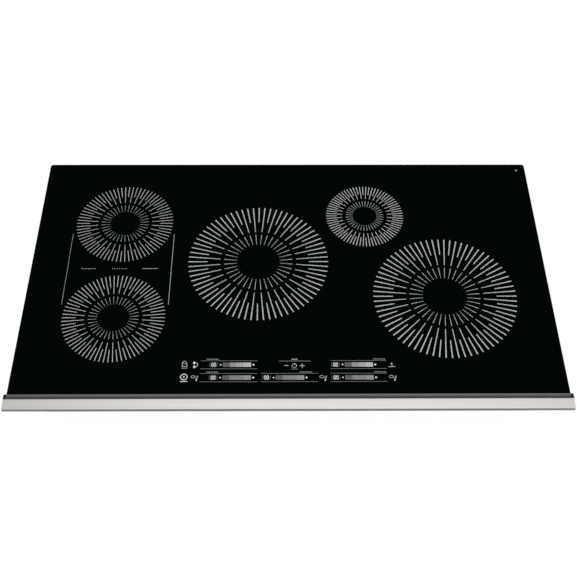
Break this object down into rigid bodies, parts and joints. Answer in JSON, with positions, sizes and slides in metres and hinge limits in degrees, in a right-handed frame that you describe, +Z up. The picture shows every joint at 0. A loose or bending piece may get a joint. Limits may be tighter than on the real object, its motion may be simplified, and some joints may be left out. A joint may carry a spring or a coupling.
{
  "type": "induction cooktop",
  "caption": "Built-in induction cooktop: black glass top with printed ring zones and a touch control strip, brushed steel front trim, and a shallow vented burner box below",
  "frame": {"origin": "on the plane of the burner box's underside, under the middle of the whole plan", "axes": "+X to the cook's right, +Y away from the cook, +Z up"},
  "size_m": [0.93, 0.5314, 0.105],
  "materials": {
    "black_glass": "polished glass-ceramic, opaque black",
    "ceramic_print": "fired enamel print on the glass",
    "brushed_trim": "brushed stainless along its length",
    "trim_ledge": "satin dark grey moulding",
    "black_plastic": "moulded black",
    "frame_steel": "black enamelled sheet",
    "galvanised_sheet": "galvanised sheet with spangle",
    "bracket_steel": "zinc-plated sheet",
    "zinc_screw": "bright zinc",
    "seal_foam": "closed-cell foam",
    "silicone": "grey silicone",
    "heat_plastic": "glass-filled moulding",
    "copper_litz": "lacquered litz wire",
    "ferrite": "sintered ferrite",
    "mica": "pressed mica",
    "spring_steel": "spring steel",
    "aluminium_sheet": "bare aluminium",
    "circuit_board": "solder-masked board",
    "contact_foam": "conductive foam",
    "display_plastic": "tinted display",
    "capacitor_resin": "resin-filled case",
    "fan_plastic": "glass-filled nylon",
    "terminal_plastic": "pale moulding"
  },
  "bodies": {
    "cooktop": {"burner_box": "galvanised_sheet", "capacitors": "capacitor_resin", "coil_carrier_center": "heat_plastic", "coil_carrier_left_front": "heat_plastic", "coil_carrier_left_rear": "heat_plastic", "coil_carrier_right_front": "heat_plastic", "coil_carrier_right_rear": "heat_plastic", "coil_sensors": "silicone", "coil_springs": "spring_steel", "coil_support_center": "aluminium_sheet", "coil_support_left": "aluminium_sheet", "coil_support_right": "aluminium_sheet", "coil_winding_center": "copper_litz", "coil_winding_left_front": "copper_litz", "coil_winding_left_rear": "copper_litz", "coil_winding_right_front": "copper_litz", "coil_winding_right_rear": "copper_litz", "conduit_connector": "zinc_screw", "counter_seal": "seal_foam", "fan_cover_left": "black_plastic", "fan_cover_right": "black_plastic", "fan_motor_left": "spring_steel", "fan_motor_right": "spring_steel", "ferrite_bars_center": "ferrite", "ferrite_bars_left_front": "ferrite", "ferrite_bars_left_rear": "ferrite", "ferrite_bars_right_front": "ferrite", "ferrite_bars_right_rear": "ferrite", "filter_board": "circuit_board", "filter_chokes": "capacitor_resin", "glass_adhesive": "silicone", "glass_frame": "frame_steel", "glass_panel": "black_glass", "heat_sink_left": "aluminium_sheet", "heat_sink_right": "aluminium_sheet", "hold_down_bracket_left": "bracket_steel", "hold_down_bracket_right": "bracket_steel", "insulation_sheet_center": "mica", "insulation_sheet_left_front": "mica", "insulation_sheet_left_rear": "mica", "insulation_sheet_right_front": "mica", "insulation_sheet_right_rear": "mica", "led_displays": "display_plastic", "module_tray_left": "black_plastic", "module_tray_right": "black_plastic", "power_board_left": "circuit_board", "power_board_right": "circuit_board", "terminal_block": "terminal_plastic", "touch_pads": "contact_foam", "trim_carrier": "trim_ledge", "trim_end_caps": "black_plastic", "trim_strip": "brushed_trim", "ui_board": "circuit_board", "ui_carrier": "black_plastic"},
    "blower_left": {"fan_rotor_left": "fan_plastic"},
    "blower_right": {"fan_rotor_right": "fan_plastic"},
    "clamp_left": {"clamp_screw_left": "zinc_screw"},
    "clamp_right": {"clamp_screw_right": "zinc_screw"}
  },
  "joints": [
    {"name": "blower_left_spin", "type": "hinge", "parent": "cooktop", "child": "blower_left", "pos_m": [-0.235, 0.13495, 0.017], "axis": [0, 0, 1], "continuous": true},
    {"name": "blower_right_spin", "type": "hinge", "parent": "cooktop", "child": "blower_right", "pos_m": [0.229, 0.13495, 0.017], "axis": [0, 0, 1], "continuous": true},
    {"name": "clamp_left_travel", "type": "slide", "parent": "cooktop", "child": "clamp_left", "axis": [0, 0, 1], "range_m": [-0.01, 0.015]},
    {"name": "clamp_right_travel", "type": "slide", "parent": "cooktop", "child": "clamp_right", "axis": [0, 0, 1], "range_m": [-0.01, 0.015]}
  ]
}
